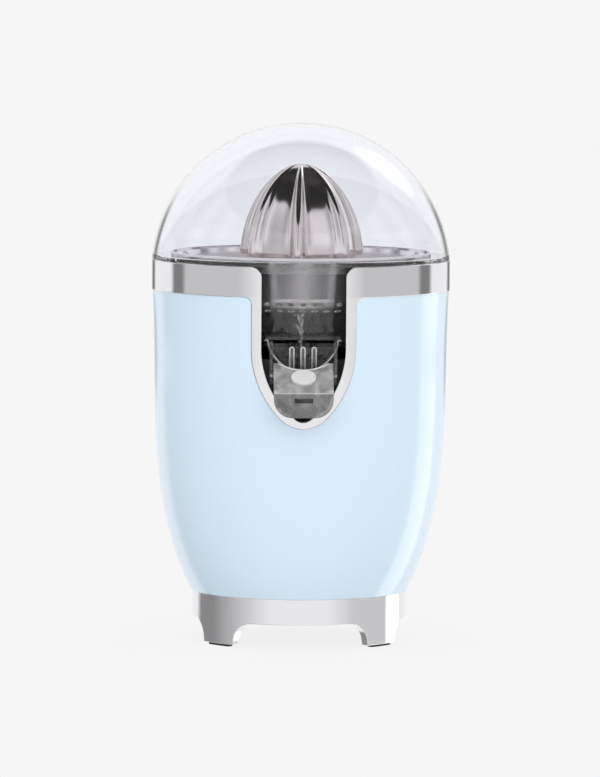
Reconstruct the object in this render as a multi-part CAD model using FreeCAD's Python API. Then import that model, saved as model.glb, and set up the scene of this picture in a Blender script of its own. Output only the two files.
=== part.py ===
import FreeCAD, Part
import math
import os

# Citrus press: a motor in a barrel-shaped body turns a ribbed reamer over a strainer, a bowl and a spout.
# Frame: Z is the body axis, z = 0 is the table, the spout points to -Y. Millimetres and degrees.

# Clearances
fit_gap = 0.05       # between pieces fixed to each other
run_gap = 0.1        # round a shaft that turns or slides
slide_gap = 0.08     # each side of a hexagon that slides
seat_gap = 0.05      # under a piece that lifts off
seam = 0.15          # between the shell and the chrome frame
tip_gap = 0.3        # between the press-to-run pieces at rest

# Base ring and feet
base_r = 59.1
base_wall = 5.0
base_height = 26.3
base_flange_w = 10.0
base_flange_t = 3.0
leg_angle = 50.0     # each leg's azimuth from the front or the rear
leg_half = 11.8      # half of a leg's width, as an angle
arch_height = 12.2
arch_corner_r = 11.5
pad_t = 2.2
pad_sink = 1.0       # how far a pad is let into its leg
pad_w = 3.2
pad_half = 8.0       # half of a pad's width, as an angle

# Body shell, with the share of its swell that the barrel has at three heights over its foot
shell_height = 164.5
shell_wall = 2.0
shell_floor_t = 2.0
foot_overhang = 0.6  # shell beyond the base ring
hip_share = 0.557
hip_rise = 32.0
waist_share = 0.822
waist_rise = 64.5
chest_share = 0.941
chest_rise = 120.0
ledge_w = 6.0
ledge_t = 6.0
ledge_drop = 6.0     # ledge top below the shell's top edge
post_count = 4
post_circle_r = 50.0
post_r = 4.5

# Chrome collar and its U-shaped front frame; the insets further down are counted inwards from the collar
collar_r = 82.0
collar_height = 16.4
collar_wall = 3.0
collar_lip_w = 5.5
collar_lip_t = 2.4
collar_overhang = 0.4
frame_half = 28.0    # half of the frame's width, outside
frame_band = 5.3
frame_depth = 5.0
frame_straight = 44.0  # from the collar's top to where the sides start to bend
frame_drop = 86.8    # from the collar's top to the frame's lowest edge
frame_side_r = 53.0
frame_sill = 3.6     # band at the bottom
frame_inner_round = 6.0
frame_outer_round = 4.0

# Dark well under the bowl, with the bay behind the spout
well_inset = 9.5
well_wall = 2.0
well_depth = 29.5    # deck top below the ledge
deck_t = 2.5
bay_half = 25.0
well_side_gap = 1.5  # round the bowl's trough
bay_depth = 34.5     # bay floor below the deck
well_flange_t = 2.5
well_flange_inset = 4.7
deck_hub_r = 14.0
deck_hub_rise = 5.5
bush_length = 10.0
bush_wall = 3.0
seal_t = 2.5
seal_lip = 2.0

# Clear juice bowl
bowl_rim_inset = 0.6
bowl_flange_t = 2.2
bowl_mouth_inset = 12.5  # outside of the wall under the flange
bowl_floor_inset = 19.0  # outside of the wall at the floor
bowl_depth = 45.0
bowl_wall = 2.2
bowl_corner_r = 7.0
spigot_inset = 6.2   # ring that drops inside the collar
spigot_wall = 2.0
spigot_drop = 4.0
tube_bore_r = 7.0
tube_wall = 2.2
tube_rise = 32.0
trough_half = 18.0
trough_drop = 13.0   # trough floor below the bowl's floor
trough_front_inset = 16.0
trough_back_inset = 34.0
tongue_half = 6.0
tongue_reach = 5.0
rib_w = 1.6
rib_pitch = 6.0
rib_height = 12.0

# Clear drip-stop spout, hinged on two pins between the bowl's ears
pivot_inset = 10.0
pivot_drop = 58.4    # hinge below the bowl's flange
pin_r = 1.5
ear_t = 1.8
ear_r = 6.0
spout_half = 16.0
spout_wall = 2.0
spout_reach = 20.5   # nozzle front in front of the hinge
nozzle_depth = 9.5
nozzle_drop = 21.5   # nozzle mouth below the hinge
spout_floor_drop = 9.5
spout_top_rise = 6.5
slope_start = 2.5    # where the sloping top begins, in front of the hinge
slope_end_drop = 8.5
spout_heel_r = 5.4
nozzle_round = 10.0
pad_half_w = 6.6
pad_half_l = 5.5
pad_disc_t = 1.2
slot_half = 5.0
slot_h = 2.5
slot_drop = 13.5
scoop_half = 14.0    # half width of the scoop in the slope's top edge
scoop_depth = 3.5

# Perforated steel strainer
strainer_rim_inset = 10.8
strainer_rim_h = 1.8
strainer_mouth_inset = 16.0
strainer_row_inset = 19.5
strainer_floor_inset = 24.5
strainer_depth = 28.5
strainer_wall = 0.9
strainer_corner_h = 8.0
strainer_hub_wall = 1.2
strainer_hub_rise = 16.0
hub_side_gap = 0.8
hole_half_w = 1.7
hole_half_h = 1.0
hole_count = 60
lower_row_rise = 1.6
upper_row_rise = 5.2

# Ribbed steel reamer on its drive hub
reamer_r = 34.6
reamer_height = 49.8
reamer_power = 1.8   # exponent of the reamer's rounded outline
reamer_ribs = 7
rib_relief = 4.8     # how far the panels lie inside the ribs at the foot
rib_angle = 5.5      # half of a rib's width
rib_tip_rise = 1.4   # ribs over the panels at the top
rib_tip_r = 1.2
reamer_turn = -4.5   # azimuth of the front rib from the front
skirt_drop = 4.5     # plain skirt below the ribs
reamer_wall = 2.0
reamer_crown_t = 6.0
hub_r = 8.5
hub_web_t = 3.0
hub_grip = 22.0      # depth of the hexagonal socket
hub_crown = 2.5

# Clear dome lid
dome_cut = 9.8       # how far the dome falls short of a half ball
dome_wall = 2.6

# Drive shaft, its collar and return spring
shaft_r = 5.0
hex_across = 8.0
press_travel = 2.5
shaft_collar_r = 13.0
shaft_collar_t = 2.0
spring_r = 7.2
spring_wire_r = 0.6
spring_turns = 5
spring_length = 11.5

# Motor
fan_lift = 1.5       # fan over the shell's floor
fan_height = 5.5
fan_r = 32.0
fan_blades = 7
fan_blade_t = 1.4
fan_hub_r = 7.0
fan_disc_t = 1.2
bell_lift = 1.5      # lower bell over the fan
bell_t = 3.0
bell_height = 8.0
bell_arms = 4
bell_arm_w = 12.0
stator_r = 42.0
stack_height = 30.0
rotor_r = 20.0
air_gap = 0.4
slot_count = 12
slot_w = 4.4
slot_inner_r = 23.5
slot_outer_r = 33.0
coil_end_h = 3.3
coil_end_gap = 0.2
ring_inner_r = 35.5  # inside of the rims that clamp the stator
rotor_shaft_r = 4.0
bearing_r = 11.0
bearing_w = 7.0
bearing_housing_w = 3.5
bearing_lip = 1.0
end_play = 0.6
bolt_count = 4
bolt_circle_r = 38.8
bolt_r = 1.6
bolt_head_r = 3.0
bolt_head_h = 2.4
skirt_height = 8.0
plate_t = 3.0
plate_r = 46.0
plate_ear_r = 7.5
grommet_r = 5.5
grommet_flange_t = 2.5
grommet_neck = 1.8
post_screw_r = 2.0
post_screw_reach = 12.0
post_head_r = 4.0
post_head_h = 2.6
capacitor_r = 9.0
capacitor_length = 40.0
capacitor_offset = 52.5
stud_r = 4.0
stud_reach = 6.0
nut_across = 13.0
nut_h = 4.0

# Two-stage gear train
module = 1.0
pinion_teeth = 12
wheel_teeth = 48
pressure_angle = 25.0
addendum = 0.8
dedendum = 1.0
backlash = 0.15
face_w = 6.5
gear_lift = 2.0      # first stage over the motor plate
stage_gap = 1.5
output_hub_r = 9.0
output_hub_rise = 10.0
idler_pin_r = 3.0
cover_gap = 1.2
cover_wall = 2.0
cover_top_t = 3.0
cover_tab_r = 5.0
cover_tab_t = 3.0
idler_tab_angle = 40.0  # azimuth of the tabs beside the idler
cover_screw_r = 1.5
cover_head_r = 2.8
cover_head_h = 2.0
output_bush_wall = 3.0

# Press-to-run switch on the gearbox cover
switch_length = 20.0
switch_w = 6.4
switch_h = 10.2
switch_near = 18.0   # near end of the switch from the axis
switch_ear_t = 0.7
lever_t = 0.6
lever_tip = 10.0     # lever tip from the axis
lever_pivot = 31.0   # lever pin from the axis
lever_pin_r = 0.6
lever_eye_r = 1.3
plunger_at = 23.0
plunger_r = 1.2
plunger_depth = 3.5
switch_screw_r = 1.0
switch_head_r = 1.8
switch_head_h = 1.2
switch_screw_inset = 2.5
switch_screw_rise = 3.4
switch_back_t = 2.5

# Bottom cover and cord gland
cover_plate_t = 2.5
cover_plate_gap = 0.6
vent_count = 12
vent_w = 4.0
vent_inner_r = 12.0
vent_outer_r = 26.0
base_screw_reach = 14.0
gland_offset = 34.0
gland_neck_r = 6.0
gland_flange_r = 8.0
gland_flange_t = 2.0
gland_tail_r = 7.5
gland_tip_r = 5.5
gland_tail = 10.0
gland_bore_r = 3.4
liner_screw_r = 1.5
liner_head_r = 2.6
liner_head_h = 1.6
liner_screw_reach = 5.0

# Heights worked out from the sizes above
leg_foot_z = pad_t - pad_sink
base_top_z = leg_foot_z + base_height
floor_top_z = base_top_z + shell_floor_t
collar_base_z = base_top_z + shell_height
collar_top_z = collar_base_z + collar_height
ledge_top_z = collar_base_z - ledge_drop
deck_top_z = ledge_top_z - well_depth
bay_floor_z = deck_top_z - bay_depth
flange_z = collar_top_z + seat_gap
flange_top_z = flange_z + bowl_flange_t
bowl_floor_z = flange_z - bowl_depth
tube_top_z = bowl_floor_z + tube_rise
dome_z = flange_top_z + seat_gap
strainer_z = flange_top_z + seat_gap
strainer_floor_z = strainer_z - strainer_depth
strainer_hub_z = strainer_floor_z + strainer_hub_rise
hub_z = strainer_hub_z + press_travel + 2 * tip_gap
socket_top_z = hub_z + hub_grip
reamer_z = strainer_z
shaft_top_z = socket_top_z - tip_gap
pivot_z = flange_z - pivot_drop
fan_z = floor_top_z + fan_lift
bell_z = fan_z + fan_height + bell_lift
stator_z = bell_z + bell_height
stator_top_z = stator_z + stack_height
plate_z = stator_top_z + skirt_height
plate_top_z = plate_z + plate_t
post_top_z = plate_z - grommet_flange_t
gear1_z = plate_top_z + gear_lift
gear2_z = gear1_z + face_w + stage_gap
gear2_top_z = gear2_z + face_w
cover_under_z = gear2_top_z + stage_gap
cover_top_z = cover_under_z + cover_top_t
output_top_z = max(gear2_top_z + output_hub_rise, cover_top_z + tip_gap)
shaft_foot_z = gear2_z + press_travel + tip_gap
rotor_top_z = gear1_z + face_w
shaft_collar_z = output_top_z + spring_length
axle_spacing = module * (pinion_teeth + wheel_teeth) / 2
wheel_tip_r = module * wheel_teeth / 2 + addendum
lever_z = shaft_collar_z - tip_gap - lever_t
lever_pin_z = lever_z + lever_t / 2
switch_top_z = lever_z - press_travel
switch_z = switch_top_z - switch_h
switch_screw_z = switch_z + switch_screw_rise
trough_floor_z = bowl_floor_z + bowl_wall - trough_drop
trough_axis_z = trough_floor_z + trough_half
trough_top_z = trough_axis_z - bowl_wall
reamer_inner_h = reamer_height - reamer_crown_t

# Radii, offsets and angles worked out from the sizes above
well_r = collar_r - well_inset
well_flange_r = collar_r - well_flange_inset
bowl_rim_r = collar_r - bowl_rim_inset
bowl_mouth_r = collar_r - bowl_mouth_inset
bowl_floor_r = collar_r - bowl_floor_inset
spigot_r = collar_r - spigot_inset
trough_front = collar_r - trough_front_inset
trough_back = collar_r - trough_back_inset
pivot_front = collar_r - pivot_inset
strainer_rim_r = collar_r - strainer_rim_inset
strainer_mouth_r = collar_r - strainer_mouth_inset
strainer_row_r = collar_r - strainer_row_inset
strainer_floor_r = collar_r - strainer_floor_inset
shell_top_r = collar_r - collar_overhang
shell_foot_r = base_r + foot_overhang
flange_bore_r = base_r - base_wall - base_flange_w
bearing_housing_r = bearing_r + bearing_housing_w
cover_inner_r = wheel_tip_r + cover_gap
cover_outer_r = cover_inner_r + cover_wall
grommet_bore_r = post_screw_r + fit_gap
grommet_neck_r = grommet_bore_r + grommet_neck
bay_back = trough_back - bowl_wall - well_side_gap
ear_x = spout_half + tip_gap
panel_r = reamer_r - rib_relief
reamer_inner_r = panel_r - reamer_wall
leg_middles = (leg_angle, 180 - leg_angle, 180 + leg_angle, -leg_angle)
half_wheel_pitch = 180 / wheel_teeth
far = 4 * collar_r

ORIGIN = FreeCAD.Vector(0, 0, 0)
X_AXIS = FreeCAD.Vector(1, 0, 0)
Y_AXIS = FreeCAD.Vector(0, 1, 0)
Z_AXIS = FreeCAD.Vector(0, 0, 1)


def point(x, y, z):
    return FreeCAD.Vector(x, y, z)


def rod(r, z0, z1, x=0, y=0):
    return Part.makeCylinder(r, z1 - z0, point(x, y, z0))


def ring(r_in, r_out, z0, z1, x=0, y=0):
    return rod(r_out, z0, z1, x, y).cut(rod(r_in, z0, z1, x, y))


def block(x0, x1, y0, y1, z0, z1):
    return Part.makeBox(x1 - x0, y1 - y0, z1 - z0, point(x0, y0, z0))


def cross_rod(r, start, direction, length):
    return Part.makeCylinder(r, length, start, direction)


def turned(shape, angle):
    copy = shape.copy()
    copy.rotate(ORIGIN, Z_AXIS, angle)
    return copy


def mirrored(shape):
    return shape.mirror(ORIGIN, X_AXIS)


def around(shape, angles):
    return [turned(shape, angle) for angle in angles]


def even(count, start=0):
    return [start + 360 * i / count for i in range(count)]


def joined(shape, *others):
    return shape.fuse(list(others)).removeSplitter()


def group(shapes):
    return Part.makeCompound(shapes)


def line(a, b):
    return Part.LineSegment(a, b).toShape()


def curve(points, closed=False):
    spline = Part.BSplineCurve()
    spline.interpolate(points, PeriodicFlag=closed)
    return spline.toShape()


def lathe(edges):
    face = Part.Face(Part.Wire(edges))
    return face.revolve(ORIGIN, Z_AXIS, 360)


def lathe_corners(corners):
    points = [point(r, 0, z) for r, z in corners]
    face = Part.Face(Part.makePolygon(points + points[:1]))
    return face.revolve(ORIGIN, Z_AXIS, 360)


def prism(corners, depth_vector):
    face = Part.Face(Part.makePolygon(corners + corners[:1]))
    return face.extrude(depth_vector)


def hexagon(across, z0, z1, x=0, y=0):
    r = across / 2 / math.cos(math.pi / 6)
    corners = []
    for i in range(6):
        a = math.radians(60 * i)
        corners.append(point(x + r * math.cos(a), y + r * math.sin(a), z0))
    return prism(corners, point(0, 0, z1 - z0))


def sector(r_in, r_out, z0, z1, middle, half):
    # A slice of a ring, centred on an azimuth counted from the front
    slice_out = Part.makeCylinder(r_out, z1 - z0, point(0, 0, z0), Z_AXIS, 2 * half)
    return turned(slice_out.cut(rod(r_in, z0, z1)), middle - 90 - half)


def screw(x, y, seat_z, head_r, head_h, shank_r, reach, up=1):
    # Head beyond the seat, shank through it; up is 1 for a head on top and -1 for a head underneath
    head = cross_rod(head_r, point(x, y, seat_z), Z_AXIS * up, head_h)
    shank = cross_rod(shank_r, point(x, y, seat_z), Z_AXIS * -up, reach)
    slot = cross_rod(shank_r, point(x, y, seat_z + up * head_h), Z_AXIS * -up, head_h / 2)
    return joined(head, shank).cut(slot)


def save(name, shape):
    shape.exportStep("parts/" + name + ".step")
    solids = shape.Solids
    volume = sum(solid.Volume for solid in solids)
    print(name, "solids", len(solids), "volume", round(volume, 1), "valid", shape.isValid())


def barrel_edge(offset):
    # The body's outline from foot to top, moved out by an offset
    heights = (0, hip_rise, waist_rise, chest_rise, shell_height)
    swell = shell_top_r - shell_foot_r
    radii = [shell_foot_r + swell * share for share in (0, hip_share, waist_share, chest_share, 1)]
    return curve([point(r + offset, 0, base_top_z + h) for r, h in zip(radii, heights)])


def barrel(offset):
    # A solid of the body's outline, from its foot to the collar
    top_r = shell_top_r + offset
    foot_r = shell_foot_r + offset
    return lathe([
        barrel_edge(offset),
        line(point(top_r, 0, collar_base_z), point(0, 0, collar_base_z)),
        line(point(0, 0, collar_base_z), point(0, 0, base_top_z)),
        line(point(0, 0, base_top_z), point(foot_r, 0, base_top_z)),
    ])


def u_prism(half, drop, side_r, front=-far, back=0):
    # A U in front view: straight sides from above the collar, side arcs, and a bottom arc tangent to both
    spring_z = collar_top_z - frame_straight
    low_z = collar_top_z - drop
    top_z = collar_top_z + far
    across = side_r - half
    deep = spring_z - low_z
    bottom_r = (side_r ** 2 - across ** 2 - deep ** 2) / (2 * (side_r - deep))
    middle_z = low_z + bottom_r
    lean = math.atan2(spring_z - middle_z, across)

    def on_side(sign, angle):
        x = sign * (side_r * math.cos(angle) - across)
        return point(x, front, spring_z - side_r * math.sin(angle))

    edges = [line(point(-half, front, top_z), point(half, front, top_z))]
    edges.append(line(point(half, front, top_z), on_side(1, 0)))
    edges.append(Part.Arc(on_side(1, 0), on_side(1, lean / 2), on_side(1, lean)).toShape())
    edges.append(Part.Arc(on_side(1, lean), point(0, front, low_z), on_side(-1, lean)).toShape())
    edges.append(Part.Arc(on_side(-1, lean), on_side(-1, lean / 2), on_side(-1, 0)).toShape())
    edges.append(line(on_side(-1, 0), point(-half, front, top_z)))
    return Part.Face(Part.Wire(edges)).extrude(point(0, back - front, 0))


def corner_prism(x, z, r, side, up):
    # What lies between a square corner at (x, z) and its rounding, on both sides of the frame
    x0, x1 = sorted((x, x + side * r))
    z0, z1 = sorted((z, z + up * r))
    square = block(x0, x1, -far, 0, z0, z1)
    spandrel = square.cut(cross_rod(r, point(x + side * r, -far, z + up * r), Y_AXIS, far))
    return [spandrel, mirrored(spandrel)]


# Where the screws and holes are
post_spots = [(post_circle_r * math.cos(math.radians(a)), post_circle_r * math.sin(math.radians(a)))
              for a in even(post_count, 45)]
liner_circle_r = well_flange_r - liner_head_r - fit_gap
liner_spots = [(liner_circle_r * math.cos(math.radians(a)), liner_circle_r * math.sin(math.radians(a)))
               for a in even(post_count, 45)]
tab_reach = cover_outer_r + cover_head_r + fit_gap
tab_spots = [(sign * tab_reach * math.cos(math.radians(a)), base_y + tab_reach * math.sin(math.radians(a)))
             for sign in (1, -1) for a, base_y in ((0, 0), (idler_tab_angle, axle_spacing))]
switch_screw_spots = [(switch_near + switch_screw_inset, switch_screw_z),
                      (switch_near + switch_length - switch_screw_inset, switch_screw_z)]


def make_base_ring():
    inner_r = base_r - base_wall
    body = ring(inner_r, base_r, leg_foot_z, base_top_z)
    flange = ring(flange_bore_r, inner_r + fit_gap, base_top_z - base_flange_t, base_top_z)
    base = joined(body, flange)
    arch_top = leg_foot_z + arch_height
    corner_half = math.degrees(arch_corner_r / base_r)
    below = -base_height
    for middle, leg_gap in ((0, leg_angle), (90, 90 - leg_angle), (180, leg_angle), (270, 90 - leg_angle)):
        half = leg_gap - leg_half
        base = base.cut(sector(flange_bore_r, far, below, arch_top, middle, half - corner_half))
        for sign in (1, -1):
            start = point(arch_corner_r, -far, arch_top - arch_corner_r)
            corner = cross_rod(arch_corner_r, start, Y_AXIS, far)
            corner = corner.fuse(block(0, 2 * arch_corner_r, -far, 0, below, arch_top - arch_corner_r))
            if sign > 0:
                corner = mirrored(corner)
            base = base.cut(turned(corner, middle + sign * half))
    for spot in post_spots:
        base = base.cut(rod(post_screw_r + fit_gap, 0, base_top_z, *spot))
    for middle in leg_middles:
        base = base.cut(pad_shape(middle, fit_gap))
    return base


def pad_shape(middle, gap):
    pad_middle_r = base_r - base_wall / 2
    around_gap = math.degrees(gap / pad_middle_r)
    inner = pad_middle_r - pad_w / 2 - gap
    outer = pad_middle_r + pad_w / 2 + gap
    return sector(inner, outer, 0, pad_t, middle, pad_half + around_gap)


def make_bottom_cover():
    top = base_top_z - base_flange_t
    cover = rod(base_r - base_wall - cover_plate_gap, top - cover_plate_t, top)
    vent = block(-vent_w / 2, vent_w / 2, vent_inner_r, vent_outer_r, 0, top)
    cover = cover.cut(around(vent, even(vent_count, 180 / vent_count)))
    cover = cover.cut(rod(gland_neck_r + fit_gap, 0, top, 0, gland_offset))
    for spot in post_spots:
        cover = cover.cut(rod(post_screw_r + fit_gap, 0, top, *spot))
    return cover


def make_cord_gland():
    top = base_top_z - base_flange_t
    under = top - cover_plate_t
    tip = under - gland_tail
    outline = [(gland_bore_r, tip), (gland_tip_r, tip), (gland_tail_r, under), (gland_neck_r, under),
               (gland_neck_r, top), (gland_flange_r, top), (gland_flange_r, top + gland_flange_t),
               (gland_bore_r, top + gland_flange_t)]
    gland = lathe_corners(outline)
    gland.translate(point(0, gland_offset, 0))
    return gland


def make_bottom_screws():
    seat = base_top_z - base_flange_t - cover_plate_t
    reach = base_screw_reach + cover_plate_t + base_flange_t
    return group([screw(x, y, seat, post_head_r, post_head_h, post_screw_r, reach, -1)
                  for x, y in post_spots])


def make_body_shell():
    cavity = barrel(-shell_wall).cut(rod(far, 0, floor_top_z))
    shell = barrel(0).cut([cavity, rod(flange_bore_r, 0, floor_top_z)])
    ledge_outer_r = collar_r + far
    ledge_inner_r = shell_top_r - shell_wall - ledge_w
    ledge = ring(ledge_inner_r, ledge_outer_r, ledge_top_z - ledge_t, ledge_top_z).common(cavity)
    posts = [rod(post_r, base_top_z, post_top_z, x, y) for x, y in post_spots]
    shell = joined(shell, ledge, *posts)
    shell = shell.cut(u_prism(frame_half + seam, frame_drop + seam, frame_side_r + seam))
    shell = shell.cut(corner_prism(frame_half, collar_base_z, frame_outer_round + 2 * seam, 1, -1))
    for x, y in post_spots:
        foot_bore = rod(post_screw_r + fit_gap, 0, base_top_z + base_screw_reach + tip_gap, x, y)
        top_bore = rod(post_screw_r + fit_gap, post_top_z - post_screw_reach - tip_gap, far, x, y)
        shell = shell.cut([foot_bore, top_bore])
    for x, y in liner_spots:
        bore = rod(liner_screw_r + fit_gap, ledge_top_z - liner_screw_reach, ledge_top_z + far, x, y)
        shell = shell.cut(bore)
    return shell


def make_top_collar():
    lip_r = collar_r - collar_lip_w
    rim = lathe_corners([
        (collar_r, collar_base_z), (collar_r, collar_top_z), (lip_r, collar_top_z),
        (lip_r, collar_top_z - collar_lip_t), (collar_r - collar_wall, collar_top_z - collar_lip_t),
        (collar_r - collar_wall, collar_base_z),
    ])
    front = collar_overhang
    back = collar_overhang - frame_depth
    low_z = base_top_z
    zone = lathe([
        barrel_edge(front),
        line(point(shell_top_r + front, 0, collar_base_z), point(collar_r, 0, collar_top_z)),
        line(point(collar_r, 0, collar_top_z), point(collar_r - frame_depth, 0, collar_top_z)),
        line(point(collar_r - frame_depth, 0, collar_top_z), point(shell_top_r + back, 0, collar_base_z)),
        barrel_edge(back),
        line(point(shell_foot_r + back, 0, low_z), point(shell_foot_r + front, 0, low_z)),
    ])
    opening = u_prism(frame_half - frame_band, frame_drop - frame_sill, frame_side_r - frame_band)
    outside = u_prism(frame_half, frame_drop, frame_side_r)
    fillets = corner_prism(frame_half, collar_base_z, frame_outer_round, 1, -1)
    frame = zone.common(joined(outside, *fillets))
    collar = joined(rim, frame).cut(opening)
    return collar.cut(corner_prism(frame_half - frame_band, collar_top_z, frame_inner_round, 1, -1))


def make_well_liner():
    zone = barrel(collar_overhang - frame_depth - seam)
    cup = rod(well_r, deck_top_z - deck_t, ledge_top_z + well_flange_t)
    bay = block(-bay_half - well_wall, bay_half + well_wall, -far, -bay_back + well_wall,
                bay_floor_z - well_wall, deck_top_z).common(zone)
    flange = rod(well_flange_r, ledge_top_z, ledge_top_z + well_flange_t)
    flange = flange.cut(u_prism(frame_half + seam, frame_drop, frame_side_r + seam))
    hub = rod(deck_hub_r, deck_top_z - bush_length, deck_top_z + deck_hub_rise)
    inside = rod(well_r - well_wall, deck_top_z, far)
    bay_inside = block(-bay_half, bay_half, -far, -bay_back, bay_floor_z, far)
    liner = joined(cup.common(zone), bay, flange).cut([inside, bay_inside])
    liner = joined(liner, hub)
    bush_r = shaft_r + run_gap + bush_wall + fit_gap
    bush_top = deck_top_z + deck_hub_rise - seal_t
    seal_r = bush_r + seal_lip
    liner = liner.cut([rod(bush_r, 0, far), rod(seal_r, bush_top, far)])
    for x, y in liner_spots:
        liner = liner.cut(rod(liner_screw_r + fit_gap, ledge_top_z, ledge_top_z + well_flange_t, x, y))
    return liner


def make_guide_bush():
    bush_top = deck_top_z + deck_hub_rise - seal_t
    return ring(shaft_r + run_gap, shaft_r + run_gap + bush_wall, deck_top_z - bush_length, bush_top)


def make_shaft_seal():
    seal_r = shaft_r + run_gap + bush_wall + seal_lip
    bush_top = deck_top_z + deck_hub_rise - seal_t
    return ring(shaft_r + run_gap, seal_r, bush_top, bush_top + seal_t)


def make_liner_screws():
    seat = ledge_top_z + well_flange_t
    reach = well_flange_t + liner_screw_reach - tip_gap
    return group([screw(x, y, seat, liner_head_r, liner_head_h, liner_screw_r, reach)
                  for x, y in liner_spots])


def make_lower_bell():
    rim = ring(ring_inner_r, stator_r, bell_z, stator_z)
    housing = rod(bearing_housing_r, bell_z, bell_z + bearing_lip + bearing_w)
    arm = block(0, ring_inner_r + fit_gap, -bell_arm_w / 2, bell_arm_w / 2, bell_z, bell_z + bell_t)
    bell = joined(rim, housing, *around(arm, even(bell_arms, 45)))
    bore = rod(bearing_r + fit_gap, bell_z + bearing_lip, stator_top_z)
    bell = bell.cut([bore, rod(bearing_r - bearing_lip, 0, stator_top_z)])
    return bell.cut(bolt_bores(bell_z, stator_z))


def bolt_bores(z0, z1):
    return around(rod(bolt_r + fit_gap, z0, z1, bolt_circle_r, 0), even(bolt_count))


def make_stator_core():
    core = ring(rotor_r + air_gap, stator_r, stator_z, stator_top_z)
    slot = block(0, slot_outer_r, -slot_w / 2, slot_w / 2, stator_z, stator_top_z)
    return core.cut(around(slot, even(slot_count)) + bolt_bores(stator_z, stator_top_z))


def make_stator_winding():
    low = stator_z - coil_end_gap
    high = stator_top_z + coil_end_gap
    outer_r = slot_outer_r - fit_gap
    half = slot_w / 2 - fit_gap
    bar = block(slot_inner_r, outer_r - coil_end_gap, -half, half, low - coil_end_h, high + coil_end_h)
    low_end = ring(slot_inner_r, outer_r, low - coil_end_h, low)
    high_end = ring(slot_inner_r, outer_r, high, high + coil_end_h)
    return joined(low_end, high_end, *around(bar, even(slot_count)))


def make_rotor_core():
    return ring(rotor_shaft_r + fit_gap, rotor_r, stator_z + end_play, stator_top_z - end_play)


def make_cooling_fan():
    top = fan_z + fan_height
    blade = block(fan_hub_r - fan_blade_t, fan_r, -fan_blade_t / 2, fan_blade_t / 2, fan_z, top)
    disc = rod(fan_r, top - fan_disc_t, top)
    fan = joined(rod(fan_hub_r, fan_z, top), disc, *around(blade, even(fan_blades)))
    return fan.cut(rod(rotor_shaft_r + fit_gap, 0, far))


def make_bearing(z0):
    return ring(rotor_shaft_r + run_gap, bearing_r, z0, z0 + bearing_w)


def make_motor_bolts():
    reach = stator_top_z - bell_z + skirt_height + plate_t - tip_gap
    bolt = screw(bolt_circle_r, 0, bell_z, bolt_head_r, bolt_head_h, bolt_r, reach, -1)
    return group(around(bolt, even(bolt_count)))


def gearbox_outline(r, z0, z1):
    # A plate with round ends that covers the output axis and the idler axis
    middle = block(-r, r, 0, axle_spacing, z0, z1)
    return joined(middle, rod(r, z0, z1), rod(r, z0, z1, 0, axle_spacing))


def make_motor_plate():
    bed = gearbox_outline(tab_reach + cover_tab_r, plate_z, plate_top_z)
    ears = [rod(plate_ear_r, plate_z, plate_top_z, x, y) for x, y in post_spots]
    arm = block(0, capacitor_offset, -plate_ear_r, plate_ear_r, plate_z, plate_top_z)
    arm_end = rod(plate_ear_r, plate_z, plate_top_z, capacitor_offset, 0)
    skirt = ring(ring_inner_r, stator_r, stator_top_z, plate_z)
    bearing_z = plate_top_z - bearing_w
    housing = rod(bearing_housing_r, bearing_z - bearing_lip, plate_top_z)
    plate = joined(rod(plate_r, plate_z, plate_top_z), bed, arm, arm_end, skirt, housing, *ears)
    plate = plate.cut([rod(bearing_r + fit_gap, bearing_z, far), rod(bearing_r - bearing_lip, 0, far)])
    plate = plate.cut(bolt_bores(stator_top_z, plate_top_z))
    holes = [rod(grommet_neck_r + fit_gap, plate_z, plate_top_z, x, y) for x, y in post_spots]
    holes += [rod(cover_screw_r + fit_gap, plate_z, plate_top_z, x, y) for x, y in tab_spots]
    holes.append(rod(idler_pin_r + fit_gap, plate_z, plate_top_z, 0, axle_spacing))
    holes.append(rod(stud_r + fit_gap, plate_z, plate_top_z, capacitor_offset, 0))
    return plate.cut(holes)


def make_mount_grommets():
    top = plate_top_z + grommet_flange_t
    grommet = lathe_corners([
        (grommet_bore_r, post_top_z), (grommet_r, post_top_z), (grommet_r, plate_z),
        (grommet_neck_r, plate_z), (grommet_neck_r, plate_top_z), (grommet_r, plate_top_z),
        (grommet_r, top), (grommet_bore_r, top),
    ])
    grommets = []
    for x, y in post_spots:
        copy = grommet.copy()
        copy.translate(point(x, y, 0))
        grommets.append(copy)
    return group(grommets)


def make_mount_screws():
    seat = plate_top_z + grommet_flange_t
    reach = seat - post_top_z + post_screw_reach
    return group([screw(x, y, seat, post_head_r, post_head_h, post_screw_r, reach) for x, y in post_spots])


def make_run_capacitor():
    can = rod(capacitor_r, plate_z - capacitor_length, plate_z, capacitor_offset, 0)
    stud = rod(stud_r, plate_z, plate_top_z + stud_reach, capacitor_offset, 0)
    return joined(can, stud)


def make_capacitor_nut():
    nut = hexagon(nut_across, plate_top_z, plate_top_z + nut_h, capacitor_offset, 0)
    return nut.cut(rod(stud_r + fit_gap, plate_top_z, plate_top_z + nut_h, capacitor_offset, 0))


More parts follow.
